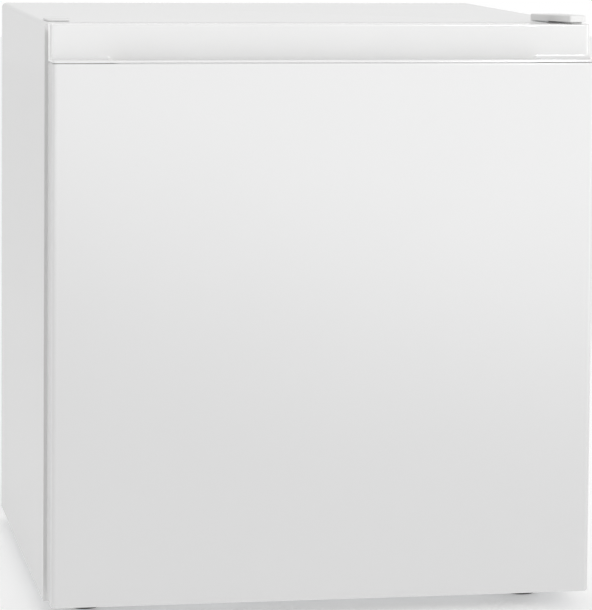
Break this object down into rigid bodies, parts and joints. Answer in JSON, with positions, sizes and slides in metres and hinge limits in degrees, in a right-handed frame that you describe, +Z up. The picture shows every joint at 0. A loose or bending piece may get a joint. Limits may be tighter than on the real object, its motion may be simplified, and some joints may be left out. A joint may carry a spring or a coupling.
{
  "type": "mini fridge",
  "caption": "Small cube refrigerator with a full-width grip ledge on its hinged door, an ice box with a flap, a sliding drip tray and glass shelf, and a rear wire condenser.",
  "frame": {"origin": "on the floor, under the middle of the footprint", "axes": "+Z up, -Y the front with the door, +X the viewer's right, which is the hinge side"},
  "size_m": [0.445, 0.47, 0.4918],
  "materials": {
    "white_paint": "satin",
    "door_paint": "satin",
    "gloss_white": "gloss",
    "white_plastic": "satin",
    "liner_plastic": "satin",
    "clear_plastic": "gloss",
    "shelf_glass": "gloss",
    "foam": "matte",
    "seal": "matte",
    "black_rubber": "matte",
    "black_plastic": "satin",
    "black_paint": "satin",
    "zinc_steel": "satin",
    "aluminium": "satin",
    "copper": "satin"
  },
  "bodies": {
    "cabinet": {"outer_wrap": "white_paint", "top_hinge_cover": "white_plastic", "hinge_hole_cap": "white_plastic", "ice_box_hanger": "white_plastic", "flap_frame": "white_plastic", "tray_rail_left": "white_plastic", "tray_rail_right": "white_plastic", "thermostat_housing": "white_plastic", "inner_liner": "liner_plastic", "insulation_foam": "foam", "rear_foot_left": "black_rubber", "rear_foot_right": "black_rubber", "compressor_grommet_1": "black_rubber", "compressor_grommet_2": "black_rubber", "compressor_grommet_3": "black_rubber", "compressor_grommet_4": "black_rubber", "relay_cover": "black_plastic", "cord_gland": "black_plastic", "condenser_stand_off_1": "black_plastic", "condenser_stand_off_2": "black_plastic", "condenser_stand_off_3": "black_plastic", "condenser_stand_off_4": "black_plastic", "compressor": "black_paint", "condenser": "black_paint", "base_pan": "zinc_steel", "compressor_bay_panel": "zinc_steel", "back_panel": "zinc_steel", "top_hinge_plate": "zinc_steel", "top_hinge_pin": "zinc_steel", "top_hinge_screw_1": "zinc_steel", "top_hinge_screw_2": "zinc_steel", "bottom_hinge_bracket": "zinc_steel", "bottom_hinge_pin": "zinc_steel", "bottom_hinge_screw_1": "zinc_steel", "bottom_hinge_screw_2": "zinc_steel", "compressor_plate": "zinc_steel", "ice_box": "aluminium", "thermostat_bulb": "copper", "filter_drier": "copper", "capillary_tube": "copper", "discharge_pipe": "copper", "suction_pipe": "copper"},
    "door": {"door_panel": "door_paint", "door_top_trim": "gloss_white", "door_bottom_cap": "white_plastic", "door_foam": "foam", "door_liner": "liner_plastic", "door_gasket": "seal", "door_bush_top": "white_plastic", "door_bush_bottom": "white_plastic"},
    "lower_rack": {"lower_rack": "clear_plastic"},
    "upper_rack": {"upper_rack": "clear_plastic"},
    "freezer_flap": {"freezer_flap": "clear_plastic"},
    "drip_tray": {"drip_tray": "clear_plastic"},
    "shelf": {"shelf_glass": "shelf_glass", "shelf_front_trim": "white_plastic", "shelf_rear_trim": "white_plastic"},
    "thermostat_knob": {"thermostat_knob": "gloss_white"},
    "front_foot_left": {"front_foot_left": "black_plastic"},
    "front_foot_right": {"front_foot_right": "black_plastic"}
  },
  "joints": [
    {"name": "door_swing", "type": "hinge", "parent": "cabinet", "child": "door", "pos_m": [0.21, -0.208, 0.25], "axis": [0, 0, 1], "range_deg": [0, 115]},
    {"name": "lower_rack_lift", "type": "slide", "parent": "door", "child": "lower_rack", "axis": [0, 0, 1], "range_m": [0, 0.026]},
    {"name": "upper_rack_lift", "type": "slide", "parent": "door", "child": "upper_rack", "axis": [0, 0, 1], "range_m": [0, 0.026]},
    {"name": "freezer_flap_swing", "type": "hinge", "parent": "cabinet", "child": "freezer_flap", "pos_m": [-0.0375, -0.0818, 0.428], "axis": [-1, 0, 0], "range_deg": [0, 90]},
    {"name": "drip_tray_slide", "type": "slide", "parent": "cabinet", "child": "drip_tray", "axis": [0, -1, 0], "range_m": [0, 0.075]},
    {"name": "shelf_slide", "type": "slide", "parent": "cabinet", "child": "shelf", "axis": [0, -1, 0], "range_m": [0, 0.06]},
    {"name": "thermostat_turn", "type": "hinge", "parent": "cabinet", "child": "thermostat_knob", "pos_m": [0.145, -0.0788, 0.40585], "axis": [0, 1, 0], "range_deg": [0, 280]},
    {"name": "front_foot_left_screw", "type": "slide", "parent": "cabinet", "child": "front_foot_left", "axis": [0, 0, -1], "range_m": [0, 0.008]},
    {"name": "front_foot_right_screw", "type": "slide", "parent": "cabinet", "child": "front_foot_right", "axis": [0, 0, -1], "range_m": [0, 0.008]}
  ]
}
